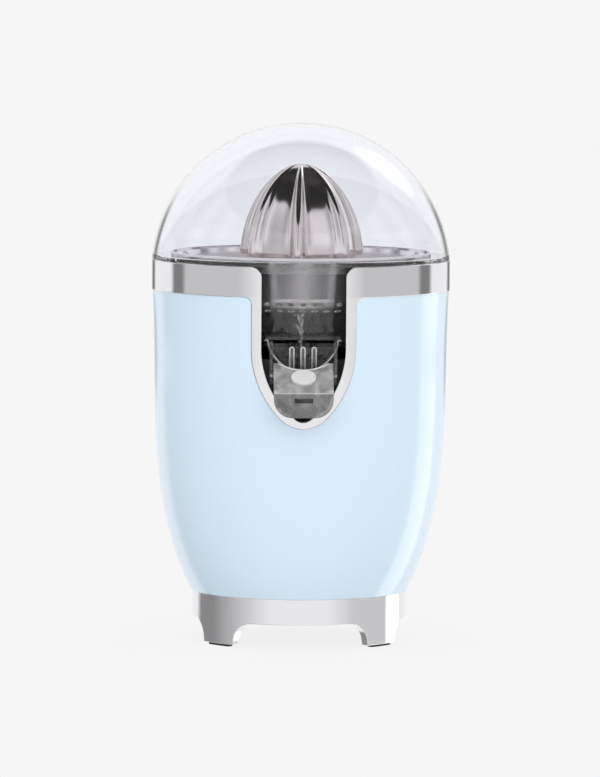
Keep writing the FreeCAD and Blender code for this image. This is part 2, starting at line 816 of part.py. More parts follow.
def gear(teeth, z0, z1, turn, y=0):
    # An involute gear: each tooth has two flank curves, a flat tip and a flat root
    pressure = math.radians(pressure_angle)
    pitch_r = module * teeth / 2
    involute_r = pitch_r * math.cos(pressure)
    tip_r = pitch_r + addendum
    root_r = pitch_r - dedendum
    start_r = max(involute_r, root_r)
    half_tooth = math.pi / (2 * teeth) - backlash / (2 * pitch_r)

    def flank_angle(r):
        roll = math.acos(min(1, involute_r / r))
        return half_tooth + math.tan(pressure) - pressure - math.tan(roll) + roll

    def at(r, angle):
        return point(r * math.cos(angle), y + r * math.sin(angle), z0)

    flank = [start_r + (tip_r - start_r) * i / 3 for i in range(4)]
    edges = []
    for k in range(teeth):
        middle = math.radians(turn) + 2 * math.pi * k / teeth
        following = middle + 2 * math.pi / teeth
        rising = [at(r, middle - flank_angle(r)) for r in flank]
        falling = [at(r, middle + flank_angle(r)) for r in reversed(flank)]
        root_in = at(root_r, middle - flank_angle(start_r))
        root_out = at(root_r, middle + flank_angle(start_r))
        root_next = at(root_r, following - flank_angle(start_r))
        if start_r > root_r:
            edges.append(line(root_in, rising[0]))
        edges.append(curve(rising))
        edges.append(line(rising[-1], falling[0]))
        edges.append(curve(falling))
        if start_r > root_r:
            edges.append(line(falling[-1], root_out))
        edges.append(line(root_out, root_next))
    return Part.Face(Part.Wire(edges)).extrude(point(0, 0, z1 - z0))


def make_motor_pinion():
    pinion = gear(pinion_teeth, gear1_z, rotor_top_z, 90)
    return pinion.cut(rod(rotor_shaft_r + fit_gap, 0, far))


def make_idler_gear():
    wheel = gear(wheel_teeth, gear1_z, gear1_z + face_w, 90 + half_wheel_pitch, axle_spacing)
    pinion = gear(pinion_teeth, gear1_z + face_w, gear2_top_z, 90, axle_spacing)
    return wheel.fuse(pinion).cut(rod(idler_pin_r + run_gap, 0, far, 0, axle_spacing))


def make_output_gear():
    wheel = gear(wheel_teeth, gear2_z, gear2_top_z, 90 + half_wheel_pitch)
    hub = rod(output_hub_r, gear2_z, output_top_z)
    return wheel.fuse(hub).cut(hexagon(hex_across + 2 * slide_gap, gear2_z, output_top_z))


def make_gearbox_cover():
    tabs = [rod(cover_tab_r, plate_top_z, plate_top_z + cover_tab_t, x, y) for x, y in tab_spots]
    switch_far = switch_near + switch_length
    back_y = switch_w / 2 + fit_gap
    shelf = block(switch_near, switch_far, -back_y, back_y + switch_back_t, cover_top_z, switch_z)
    back = block(switch_near, switch_far, back_y, back_y + switch_back_t, cover_top_z, switch_top_z)
    cover = joined(gearbox_outline(cover_outer_r, plate_top_z, cover_top_z), shelf, back, *tabs)
    cover = cover.cut(gearbox_outline(cover_inner_r, plate_top_z, cover_under_z))
    bush_r = output_hub_r + run_gap + output_bush_wall + fit_gap
    holes = [rod(bush_r, plate_top_z, far), rod(idler_pin_r + fit_gap, plate_top_z, far, 0, axle_spacing)]
    holes += [rod(cover_screw_r + fit_gap, plate_top_z, plate_top_z + cover_tab_t, x, y)
              for x, y in tab_spots]
    holes += [cross_rod(switch_screw_r + fit_gap, point(x, 0, z), Y_AXIS, far) for x, z in switch_screw_spots]
    return cover.cut(holes)


def make_gearbox_screws():
    seat = plate_top_z + cover_tab_t
    reach = cover_tab_t + plate_t - tip_gap
    return group([screw(x, y, seat, cover_head_r, cover_head_h, cover_screw_r, reach) for x, y in tab_spots])


def make_output_bush():
    inner_r = output_hub_r + run_gap
    return ring(inner_r, inner_r + output_bush_wall, cover_under_z, cover_top_z)


def make_drive_shaft():
    round_z = output_top_z + press_travel + tip_gap
    shoulder_z = hub_z - seat_gap
    return joined(hexagon(hex_across, shaft_foot_z, round_z), rod(shaft_r, round_z, shoulder_z),
                  hexagon(hex_across, shoulder_z, shaft_top_z))


def make_shaft_collar():
    return ring(shaft_r + fit_gap, shaft_collar_r, shaft_collar_z, shaft_collar_z + shaft_collar_t)


def make_return_spring():
    # The wire follows one arc for each quarter turn
    low = output_top_z + spring_wire_r + 2 * fit_gap
    rise = shaft_collar_z - spring_wire_r - 2 * fit_gap - low
    quarters = 4 * spring_turns

    def at(quarter):
        angle = quarter * math.pi / 2
        return point(spring_r * math.cos(angle), spring_r * math.sin(angle), low + rise * quarter / quarters)

    arcs = [Part.Arc(at(i), at(i + 0.5), at(i + 1)) for i in range(quarters)]
    start_way = arcs[0].tangent(arcs[0].FirstParameter)[0]
    section = Part.Wire(Part.makeCircle(spring_wire_r, at(0), start_way))
    print("spring wire gap", round(rise / spring_turns - 2 * spring_wire_r, 2))
    return Part.Wire([arc.toShape() for arc in arcs]).makePipeShell([section], True, False)


def make_micro_switch():
    half = switch_w / 2
    case = block(switch_near, switch_near + switch_length, -half, half, switch_z, switch_top_z)
    ear_half = 2 * lever_eye_r
    ear = block(lever_pivot - ear_half, lever_pivot + ear_half, half - switch_ear_t, half,
                switch_top_z, lever_pin_z + lever_eye_r)
    other_ear = ear.mirror(ORIGIN, Y_AXIS)
    well = rod(plunger_r + run_gap, switch_top_z - plunger_depth - press_travel, switch_top_z, plunger_at, 0)
    pin_bore = cross_rod(lever_pin_r + run_gap, point(lever_pivot, -far, lever_pin_z), Y_AXIS, 2 * far)
    bores = [cross_rod(switch_screw_r + fit_gap, point(x, -far, z), Y_AXIS, 2 * far)
             for x, z in switch_screw_spots]
    return joined(case, ear, other_ear).cut([well, pin_bore] + bores)


def make_switch_lever():
    half = switch_w / 2 - switch_ear_t - tip_gap
    leaf = block(lever_tip, lever_pivot, -half, half, lever_z, lever_z + lever_t)
    eye = cross_rod(lever_eye_r, point(lever_pivot, -half, lever_pin_z), Y_AXIS, 2 * half)
    pin = cross_rod(lever_pin_r, point(lever_pivot, -switch_w / 2, lever_pin_z), Y_AXIS, switch_w)
    return joined(leaf, eye, pin)


def make_switch_plunger():
    return rod(plunger_r, switch_top_z - plunger_depth, lever_z - 2 * seat_gap, plunger_at, 0)


def make_switch_screws():
    screws = []
    for x, z in switch_screw_spots:
        seat = point(x, -switch_w / 2, z)
        head = cross_rod(switch_head_r, seat, -Y_AXIS, switch_head_h)
        shank = cross_rod(switch_screw_r, seat, Y_AXIS, switch_w + switch_back_t)
        screws.append(joined(head, shank))
    return group(screws)


def cup(flat_r, corner_r, mouth_r, floor_z, corner_z, mouth_z):
    # A bowl-shaped solid: flat floor, rounded corner, straight wall to the mouth
    bend = math.sqrt(0.5)
    a = point(flat_r, 0, floor_z)
    middle = point(flat_r + (corner_r - flat_r) * bend, 0, corner_z - (corner_z - floor_z) * bend)
    b = point(corner_r, 0, corner_z)
    mouth = point(mouth_r, 0, mouth_z)
    return lathe([
        line(point(0, 0, floor_z), a),
        Part.Arc(a, middle, b).toShape(),
        line(b, mouth),
        line(mouth, point(0, 0, mouth_z)),
        line(point(0, 0, mouth_z), point(0, 0, floor_z)),
    ])


def trough(r, front, back, low_z, high_z):
    # A half-round channel along Y
    body = cross_rod(r, point(0, -front, trough_axis_z), Y_AXIS, front - back)
    return body.common(block(-far, far, -far, far, low_z, high_z))


def make_juice_bowl():
    outer = cup(bowl_floor_r - bowl_corner_r, bowl_floor_r, bowl_mouth_r,
                bowl_floor_z, bowl_floor_z + bowl_corner_r, flange_z)
    inner = cup(bowl_floor_r - bowl_corner_r, bowl_floor_r - bowl_wall, bowl_mouth_r - bowl_wall,
                bowl_floor_z + bowl_wall, bowl_floor_z + bowl_corner_r, flange_top_z)
    flange = rod(bowl_rim_r, flange_z, flange_top_z)
    spigot = ring(spigot_r - spigot_wall, spigot_r, flange_z - spigot_drop, flange_z)
    outer_trough_r = trough_half + bowl_wall
    chute = trough(outer_trough_r, trough_front, trough_back - bowl_wall, 0, trough_top_z + bowl_wall)
    lip = trough(outer_trough_r, trough_front + tongue_reach, trough_front, 0, trough_top_z)
    lip = lip.common(block(-tongue_half, tongue_half, -far, far, 0, far))
    ear_block = block(ear_x, ear_x + ear_t, -pivot_front, -trough_front + ear_r,
                      pivot_z - ear_r, trough_top_z)
    ear_round = cross_rod(ear_r, point(ear_x, -pivot_front, pivot_z), X_AXIS, ear_t)
    ear_front = block(ear_x, ear_x + ear_t, -pivot_front - ear_r, -pivot_front, pivot_z, trough_top_z)
    ear = joined(ear_block, ear_round, ear_front)
    bowl = joined(outer, flange, spigot, chute, lip, ear, mirrored(ear)).cut(inner)
    channel = trough(trough_half, trough_front + tongue_reach, trough_back, 0, trough_top_z)
    bowl = bowl.cut(channel)
    ribs = []
    for i in (-1, 0, 1):
        x = i * rib_pitch
        low = trough_axis_z - math.sqrt((trough_half + bowl_wall / 2) ** 2 - x ** 2)
        ribs.append(block(x - rib_w / 2, x + rib_w / 2, -trough_front, -trough_front + bowl_wall,
                          low, trough_floor_z + rib_height))
    tube = rod(tube_bore_r + tube_wall, bowl_floor_z, tube_top_z)
    bowl = joined(bowl, tube, *ribs)
    pin_bore = cross_rod(pin_r + fit_gap, point(-far, -pivot_front, pivot_z), X_AXIS, 2 * far)
    return bowl.cut([rod(tube_bore_r, 0, far), pin_bore])


def make_spout_pins():
    start = spout_half - spout_wall
    length = ear_x + ear_t - start
    pin = cross_rod(pin_r, point(start, -pivot_front, pivot_z), X_AXIS, length)
    return group([pin, mirrored(pin)])


def side_prism(corners, half):
    # A prism across X from corners given as distances in front of and above the spout's hinge
    points = [point(-half, -pivot_front - front, pivot_z + up) for front, up in corners]
    return prism(points, point(2 * half, 0, 0))


def rounded_sleeve(half, corner_r, low_z):
    # A tall box along Y with two rounded lower edges
    top = pivot_z + far
    sides = [cross_rod(corner_r, point(x, -far, low_z + corner_r), Y_AXIS, far)
             for x in (corner_r - half, half - corner_r)]
    upper = block(-half, half, -far, 0, low_z + corner_r, top)
    return joined(upper, block(corner_r - half, half - corner_r, -far, 0, low_z, top), *sides)


def make_pour_spout():
    nozzle_back = spout_reach - nozzle_depth
    mouth_z = pivot_z - nozzle_drop
    outer = side_prism([
        (0, spout_top_rise), (slope_start, spout_top_rise), (spout_reach, -slope_end_drop),
        (spout_reach, -nozzle_drop), (nozzle_back, -nozzle_drop), (nozzle_back, -spout_floor_drop),
        (0, -spout_floor_drop),
    ], spout_half)
    heel = cross_rod(spout_heel_r, point(-spout_half, -pivot_front, pivot_z), X_AXIS, 2 * spout_half)
    inner = side_prism([
        (-far, far), (slope_start, far), (slope_start, spout_top_rise - spout_wall),
        (spout_reach - spout_wall, -slope_end_drop - spout_wall), (spout_reach - spout_wall, -nozzle_drop),
        (nozzle_back + spout_wall, -nozzle_drop), (nozzle_back + spout_wall, spout_wall - spout_floor_drop),
        (-far, spout_wall - spout_floor_drop),
    ], spout_half - spout_wall)
    shell = joined(outer, heel).common(rounded_sleeve(spout_half, nozzle_round, mouth_z))
    sleeve = rounded_sleeve(spout_half - spout_wall, nozzle_round - spout_wall, mouth_z + spout_wall)
    mouth_back = -pivot_front - nozzle_back - spout_wall
    slot_z = pivot_z - slot_drop
    mouth = block(-slot_half, slot_half, -pivot_front - spout_reach + spout_wall, mouth_back, 0, slot_z)
    slot = block(-slot_half, slot_half, -far, mouth_back, slot_z, slot_z + slot_h)
    pin_bore = cross_rod(pin_r + run_gap, point(-far, -pivot_front, pivot_z), X_AXIS, 2 * far)
    scoop_r = (scoop_half ** 2 + scoop_depth ** 2) / (2 * scoop_depth)
    scoop_z = pivot_z + spout_top_rise - scoop_depth + scoop_r
    scoop = cross_rod(scoop_r, point(0, -far, scoop_z), Y_AXIS, far)
    return shell.cut([inner.common(sleeve), mouth, slot, pin_bore, scoop])


def make_spout_pad():
    run = spout_reach - slope_start
    fall = spout_top_rise + slope_end_drop
    normal = point(0, -fall, run).normalize()
    centre = point(0, -pivot_front - slope_start - run / 2, pivot_z + spout_top_rise - fall / 2)
    seat = centre + normal * fit_gap
    oval = Part.Ellipse(seat + X_AXIS * pad_half_w, seat + normal.cross(X_AXIS) * pad_half_l, seat)
    return Part.Face(Part.Wire(oval.toShape())).extrude(normal * pad_disc_t)


def punch(middle, way, length):
    # An oval rod for one hole, wider along Y, centred on a point
    way.normalize()
    oval = Part.Ellipse(middle + Y_AXIS * hole_half_w, middle + way.cross(Y_AXIS) * hole_half_h, middle)
    face = Part.Face(Part.Wire(oval.toShape()))
    face.translate(way * (-length / 2))
    return face.extrude(way * length)


def make_strainer():
    hub_bore_r = tube_bore_r + tube_wall + hub_side_gap
    corner_z = strainer_floor_z + strainer_corner_h
    outer = cup(strainer_floor_r, strainer_row_r, strainer_mouth_r, strainer_floor_z, corner_z, strainer_z)
    inner = cup(strainer_floor_r, strainer_row_r - strainer_wall, strainer_mouth_r - strainer_wall,
                strainer_floor_z + strainer_wall, corner_z, strainer_z + strainer_rim_h)
    flange = rod(strainer_rim_r, strainer_z, strainer_z + strainer_wall)
    rim = ring(strainer_rim_r - strainer_wall, strainer_rim_r, strainer_z, strainer_z + strainer_rim_h)
    sieve = joined(outer, flange).cut(inner)
    sieve = joined(sieve, rim)
    sieve = joined(sieve, rod(hub_bore_r + strainer_hub_wall, strainer_floor_z, strainer_hub_z))
    sieve = sieve.cut(rod(hub_bore_r, 0, far))
    drill = strainer_corner_h
    upper_z = strainer_floor_z + upper_row_rise
    lower_z = strainer_floor_z + lower_row_rise
    upper = punch(point(strainer_row_r, 0, upper_z), X_AXIS, drill)
    lower = punch(point((strainer_floor_r + strainer_row_r) / 2, 0, lower_z), point(1, 0, -1), drill)
    angles = even(hole_count)
    return sieve.cut(around(upper, angles) + around(lower, angles))


def ogive_radius(r, height, h):
    return r * (1 - (h / height) ** reamer_power) ** (1 / reamer_power)


def ogive(r, height, z):
    shares = [i / 8 for i in range(8)] + [0.95, 0.99, 1]
    points = [point(ogive_radius(r, height, height * s), 0, z + height * s) for s in shares]
    return lathe([
        curve(points),
        line(points[-1], point(0, 0, z)),
        line(point(0, 0, z), points[0]),
    ])


def make_reamer_cone():
    # Ribs are wedges of the outer form that stand proud of a smaller core and meet in a point
    outer = ogive(reamer_r, reamer_height, reamer_z)
    core = ogive(panel_r, reamer_height - rib_tip_rise, reamer_z)
    top_z = reamer_z + reamer_height
    wedges = [sector(rib_tip_r / 2, far, reamer_z, top_z, a, rib_angle)
              for a in even(reamer_ribs, reamer_turn)]
    ribs = outer.common(joined(rod(rib_tip_r, reamer_z, top_z), *wedges))
    skirt = rod(panel_r, reamer_z - skirt_drop, reamer_z)
    hollow = ogive(reamer_inner_r, reamer_inner_h, reamer_z)
    skirt_hollow = rod(reamer_inner_r, reamer_z - skirt_drop, reamer_z)
    return joined(core, ribs, skirt).cut([hollow, skirt_hollow])


def make_reamer_hub():
    web_z = reamer_z + reamer_wall
    web_r = ogive_radius(reamer_inner_r, reamer_inner_h, reamer_wall + hub_web_t) - fit_gap
    web = rod(web_r, web_z, web_z + hub_web_t)
    stem = rod(hub_r, hub_z, socket_top_z + hub_crown)
    return joined(web, stem).cut(hexagon(hex_across + 2 * slide_gap, hub_z, socket_top_z))


def make_dome_lid():
    centre_z = dome_z - dome_cut
    ball = Part.makeSphere(collar_r, point(0, 0, centre_z))
    hollow = Part.makeSphere(collar_r - dome_wall, point(0, 0, centre_z))
    return ball.cut([hollow, rod(far, centre_z - far, dome_z)])


os.makedirs("parts", exist_ok=True)
save("base_ring", make_base_ring())
save("foot_pads", group([pad_shape(middle, 0) for middle in leg_middles]))
save("bottom_cover", make_bottom_cover())
save("cord_gland", make_cord_gland())
save("bottom_screws", make_bottom_screws())
save("body_shell", make_body_shell())
save("top_collar", make_top_collar())
save("well_liner", make_well_liner())
save("guide_bush", make_guide_bush())
save("shaft_seal", make_shaft_seal())
save("liner_screws", make_liner_screws())
save("lower_bell", make_lower_bell())
save("lower_bearing", make_bearing(bell_z + bearing_lip))
save("upper_bearing", make_bearing(plate_top_z - bearing_w))
save("stator_core", make_stator_core())
save("stator_winding", make_stator_winding())
save("motor_bolts", make_motor_bolts())
save("rotor_core", make_rotor_core())
save("rotor_shaft", rod(rotor_shaft_r, fan_z, rotor_top_z))
save("cooling_fan", make_cooling_fan())
save("motor_plate", make_motor_plate())
save("mount_grommets", make_mount_grommets())
save("mount_screws", make_mount_screws())
save("run_capacitor", make_run_capacitor())
save("capacitor_nut", make_capacitor_nut())
save("motor_pinion", make_motor_pinion())
save("idler_gear", make_idler_gear())
save("idler_pin", rod(idler_pin_r, plate_z, cover_top_z, 0, axle_spacing))
save("output_gear", make_output_gear())
save("gearbox_cover", make_gearbox_cover())
save("gearbox_screws", make_gearbox_screws())
save("output_bush", make_output_bush())
save("drive_shaft", make_drive_shaft())
save("shaft_collar", make_shaft_collar())
save("return_spring", make_return_spring())
save("micro_switch", make_micro_switch())
save("switch_lever", make_switch_lever())
save("switch_plunger", make_switch_plunger())
save("switch_screws", make_switch_screws())
save("juice_bowl", make_juice_bowl())
save("spout_pins", make_spout_pins())
save("pour_spout", make_pour_spout())
save("spout_pad", make_spout_pad())
save("strainer", make_strainer())
save("reamer_cone", make_reamer_cone())
save("reamer_hub", make_reamer_hub())
save("dome_lid", make_dome_lid())
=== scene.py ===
import math

import bpy
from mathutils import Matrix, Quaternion, Vector


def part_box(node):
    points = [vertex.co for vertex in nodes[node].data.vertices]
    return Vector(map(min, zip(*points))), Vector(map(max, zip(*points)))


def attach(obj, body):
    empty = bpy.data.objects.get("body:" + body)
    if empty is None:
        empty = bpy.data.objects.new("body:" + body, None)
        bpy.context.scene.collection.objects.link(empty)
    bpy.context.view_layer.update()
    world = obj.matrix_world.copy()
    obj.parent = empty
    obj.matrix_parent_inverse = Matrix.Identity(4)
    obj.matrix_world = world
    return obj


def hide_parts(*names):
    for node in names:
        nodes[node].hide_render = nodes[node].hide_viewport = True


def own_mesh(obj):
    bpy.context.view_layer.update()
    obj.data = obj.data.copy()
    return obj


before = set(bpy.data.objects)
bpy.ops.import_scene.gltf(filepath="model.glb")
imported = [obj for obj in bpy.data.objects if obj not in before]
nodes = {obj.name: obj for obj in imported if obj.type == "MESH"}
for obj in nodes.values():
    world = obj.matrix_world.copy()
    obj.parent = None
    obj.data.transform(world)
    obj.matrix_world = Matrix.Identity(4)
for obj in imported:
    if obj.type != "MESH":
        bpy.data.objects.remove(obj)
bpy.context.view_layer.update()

# Base ring: one thick-walled casting with four legs and arches between them, polished and chrome plated.
# Screws through the bottom cover pull it up against the shell's floor, so only its outside shows.
CHROME_EDGE_R = 0.0008


def new_material(name, colour, roughness, metallic=0.0):
    # A Principled material with its constants on the shader's own sockets
    material = bpy.data.materials.new(name)
    material.use_nodes = True
    shader = shader_of(material)
    shader.inputs["Base Color"].default_value = (*colour, 1)
    shader.inputs["Roughness"].default_value = roughness
    shader.inputs["Metallic"].default_value = metallic
    return material


def shader_of(material):
    return material.node_tree.nodes["Principled BSDF"]


def dress(material, *names):
    for name in names:
        slots = nodes[name].data.materials
        slots.clear()
        slots.append(material)


def new_group(name, inputs, outputs):
    # A shader group with number inputs, and the nodes at its two ends
    group = bpy.data.node_groups.new(name, "ShaderNodeTree")
    for socket, value in inputs:
        made = group.interface.new_socket(socket, in_out="INPUT", socket_type="NodeSocketFloat")
        made.default_value = value
    for socket, kind in outputs:
        group.interface.new_socket(socket, in_out="OUTPUT", socket_type=kind)
    return group, group.nodes.new("NodeGroupInput"), group.nodes.new("NodeGroupOutput")


def add(tree, kind, **values):
    # A node with its properties and unlinked inputs set by name
    node = tree.nodes.new(kind)
    for name, value in values.items():
        if hasattr(node, name):
            setattr(node, name, value)
        else:
            node.inputs[name.replace("_", " ")].default_value = value
    return node


# Uneven polish: cloudy changes of roughness, and fine ripples for a bump
polish, polish_in, polish_out = new_group(
    "uneven_polish",
    [("Scale", 30.0), ("Low", 0.05), ("High", 0.1)],
    [("Roughness", "NodeSocketFloat"), ("Height", "NodeSocketFloat")],
)
place = add(polish, "ShaderNodeTexCoord")
cloud = add(polish, "ShaderNodeTexNoise", Detail=3.0, Roughness=0.55)
spread = add(polish, "ShaderNodeMapRange")
polish.links.new(place.outputs["Object"], cloud.inputs["Vector"])
polish.links.new(polish_in.outputs["Scale"], cloud.inputs["Scale"])
polish.links.new(cloud.outputs["Fac"], spread.inputs["Value"])
polish.links.new(polish_in.outputs["Low"], spread.inputs["To Min"])
polish.links.new(polish_in.outputs["High"], spread.inputs["To Max"])
polish.links.new(spread.outputs["Result"], polish_out.inputs["Roughness"])
polish.links.new(cloud.outputs["Fac"], polish_out.inputs["Height"])


def polished(material, scale, low, high, bump=0.0, depth=0.0):
    # Link an uneven polish into a material: its roughness, and a bump of the given strength and depth
    tree = material.node_tree
    group = add(tree, "ShaderNodeGroup", node_tree=polish)
    group.inputs["Scale"].default_value = scale
    group.inputs["Low"].default_value = low
    group.inputs["High"].default_value = high
    tree.links.new(group.outputs["Roughness"], shader_of(material).inputs["Roughness"])
    if bump:
        relief = add(tree, "ShaderNodeBump", Strength=bump, Distance=depth)
        tree.links.new(group.outputs["Height"], relief.inputs["Height"])
        tree.links.new(relief.outputs["Normal"], shader_of(material).inputs["Normal"])


def soft_edges(material, radius):
    # Round the edges in the shading, under any bump that is there
    tree = material.node_tree
    bevel = add(tree, "ShaderNodeBevel", samples=4, Radius=radius)
    normal = shader_of(material).inputs["Normal"]
    if normal.is_linked:
        normal = normal.links[0].from_node.inputs["Normal"]
    tree.links.new(bevel.outputs["Normal"], normal)


chrome = new_material("chrome_plate", (0.80, 0.80, 0.82), 0.06, metallic=1.0)
polished(chrome, scale=45, low=0.03, high=0.07, bump=0.02, depth=0.0005)
soft_edges(chrome, CHROME_EDGE_R)
dress(chrome, "base_ring")

# Foot pads: four curved strips of black rubber glued into grooves under the legs, so that the press
# stands still and does not mark the worktop.
rubber = new_material("black_rubber", (0.018, 0.018, 0.019), 0.8)
polished(rubber, scale=900, low=0.65, high=0.9, bump=0.3, depth=0.0004)
dress(rubber, "foot_pads", "cord_gland", "mount_grommets", "shaft_seal")

# Bottom cover and its screws: a dark moulded disc with a ring of air slots, held by four screws that also
# hold the base ring to the shell's posts. The cord's rubber gland sits in it.
dark_plastic = new_material("dark_moulding", (0.035, 0.035, 0.038), 0.5)
polished(dark_plastic, scale=1400, low=0.42, high=0.6, bump=0.15, depth=0.0003)
dress(dark_plastic, "bottom_cover")
zinc_steel = new_material("zinc_steel", (0.55, 0.55, 0.54), 0.3, metallic=1.0)
polished(zinc_steel, scale=300, low=0.22, high=0.42, bump=0.1, depth=0.0002)
dress(zinc_steel, "bottom_screws", "liner_screws", "motor_bolts", "mount_screws", "gearbox_screws",
      "switch_screws", "capacitor_nut", "lower_bearing", "upper_bearing", "rotor_shaft", "idler_pin",
      "drive_shaft", "shaft_collar", "return_spring", "switch_lever", "spout_pins", "motor_pinion")

# Body shell: a drawn metal barrel in pale blue gloss enamel under a hard clear coat. A notch at its front
# takes the chrome frame, and a ledge inside its top carries the well.
enamel = new_material("pale_blue_enamel", (0.645, 0.79, 0.91), 0.4)
polished(enamel, scale=260, low=0.3, high=0.42, bump=0.02, depth=0.0004)
shader_of(enamel).inputs["Coat Weight"].default_value = 1.0
shader_of(enamel).inputs["Coat Roughness"].default_value = 0.03
dress(enamel, "body_shell")

# Motor: a stack of stator sheets with enamelled copper coils, a rotor on a steel shaft, and cast aluminium
# ends; rubber grommets hang it from the shell's posts. A fan under it draws air through the bottom slots.


def wave_relief(material, strength, depth, **wave):
    # Fine parallel ridges in the shading, such as the edges of sheets or strands of wire
    tree = material.node_tree
    place = add(tree, "ShaderNodeTexCoord")
    ridges = add(tree, "ShaderNodeTexWave", **wave)
    relief = add(tree, "ShaderNodeBump", Strength=strength, Distance=depth)
    tree.links.new(place.outputs["Object"], ridges.inputs["Vector"])
    tree.links.new(ridges.outputs["Fac"], relief.inputs["Height"])
    tree.links.new(relief.outputs["Normal"], shader_of(material).inputs["Normal"])


sheet_steel = new_material("stacked_sheet", (0.30, 0.31, 0.32), 0.4, metallic=1.0)
wave_relief(sheet_steel, strength=0.5, depth=0.0003, bands_direction="Z", Scale=320.0, Distortion=0.4)
dress(sheet_steel, "stator_core", "rotor_core")
copper = new_material("enamelled_copper", (0.72, 0.36, 0.16), 0.3, metallic=1.0)
wave_relief(copper, strength=0.6, depth=0.0004, wave_type="RINGS", rings_direction="Z", Scale=300.0,
            Distortion=1.5)
dress(copper, "stator_winding")
cast_aluminium = new_material("cast_aluminium", (0.60, 0.61, 0.62), 0.45, metallic=1.0)
polished(cast_aluminium, scale=500, low=0.38, high=0.55, bump=0.3, depth=0.0004)
dress(cast_aluminium, "lower_bell", "motor_plate", "run_capacitor")
pale_nylon = new_material("pale_nylon", (0.74, 0.73, 0.69), 0.45)
polished(pale_nylon, scale=700, low=0.38, high=0.52, bump=0.08, depth=0.0003)
dress(pale_nylon, "cooling_fan")

# Gear train and press-to-run switch: two nylon wheels and a steel pinion under a black cover, with a small
# switch on top whose lever is pushed by the collar on the drive shaft.
black_plastic = new_material("black_moulding", (0.022, 0.022, 0.023), 0.45)
polished(black_plastic, scale=1200, low=0.38, high=0.55, bump=0.12, depth=0.0003)
bronze = new_material("sintered_bronze", (0.55, 0.38, 0.19), 0.4, metallic=1.0)
polished(bronze, scale=900, low=0.35, high=0.5, bump=0.15, depth=0.0002)
dress(pale_nylon, "idler_gear", "output_gear", "switch_plunger", "reamer_hub")
dress(black_plastic, "gearbox_cover", "micro_switch")
dress(bronze, "output_bush", "guide_bush")
# The return spring's coil stands on the output wheel; this copy of it rides with the wheel and keeps one
# length
coil = bpy.data.objects.new("return_coil", nodes["return_spring"].data.copy())
coil.matrix_world = nodes["return_spring"].matrix_world
bpy.context.collection.objects.link(coil)
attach(coil, "drive_gear")
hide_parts("return_spring")
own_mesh(coil)

# Well: a dark grey moulded cup under the bowl, screwed to the shell's ledge, with the bay behind the spout.
# A bush and a seal in its floor guide the shaft.
grey_plastic = new_material("grey_moulding", (0.11, 0.11, 0.115), 0.4)
polished(grey_plastic, scale=1200, low=0.3, high=0.45, bump=0.12, depth=0.0003)
dress(grey_plastic, "well_liner")

# Collar: a chrome-plated ring round the top of the body, cast in one with the U-shaped frame that runs down
# the front round the spout's opening.
dress(chrome, "top_collar")

# Juice bowl: clear moulded plastic with a flange on the collar, a tube round the shaft and a trough that
# leads the juice to the spout. Rounded beads along the trough's front edge and ribs are coloured near white
# as a painted highlight.
CLEAR_EDGE_R = 0.0008
CLEAR_IOR = 1.49
BEAD_R = 0.00045
BEAD_SIDES = 10
TROUGH_R = 0.0191
TROUGH_AXIS_Z = 0.1707
TROUGH_TOP_Z = 0.1683
TROUGH_FRONT = -0.0662
TROUGH_EDGE = 0.0208
TROUGH_STEPS = 32
RIB_PITCH = 0.006
RIB_BEAD_HALF = 0.0011
RIB_TOP_Z = 0.1645
ARCH_STEPS = 12


def bead(path):
    # A round thread along a path of points, closed at its ends
    points, faces = [], []
    across = (path[1] - path[0]).orthogonal()
    for i, spot in enumerate(path):
        along = (path[min(i + 1, len(path) - 1)] - path[max(i - 1, 0)]).normalized()
        across = (across - along * across.dot(along)).normalized()
        other = along.cross(across)
        for k in range(BEAD_SIDES):
            angle = 2 * math.pi * k / BEAD_SIDES
            points.append(spot + BEAD_R * (math.cos(angle) * across + math.sin(angle) * other))
    for i in range(len(path) - 1):
        for k in range(BEAD_SIDES):
            j = (k + 1) % BEAD_SIDES
            a, b = i * BEAD_SIDES, (i + 1) * BEAD_SIDES
            faces.append((a + k, a + j, b + j, b + k))
    faces.append(tuple(range(BEAD_SIDES - 1, -1, -1)))
    faces.append(tuple(range(len(points) - BEAD_SIDES, len(points))))
    return points, faces


def bead_piece(name, paths, body):
    # One mesh of several threads that rides on a body
    points, faces = [], []
    for path in paths:
        thread, strips = bead(path)
        faces += [tuple(len(points) + corner for corner in strip) for strip in strips]
        points += thread
    mesh = bpy.data.meshes.new(name)
    mesh.from_pydata(points, [], faces)
    mesh.shade_smooth()
    mesh.materials.append(highlight_bead_plastic)
    piece = bpy.data.objects.new(name, mesh)
    bpy.context.collection.objects.link(piece)
    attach(piece, body)


def on_trough(x, z):
    return Vector((x, TROUGH_FRONT, z))


def trough_floor(x):
    return on_trough(x, TROUGH_AXIS_Z - math.sqrt(TROUGH_R ** 2 - x ** 2))


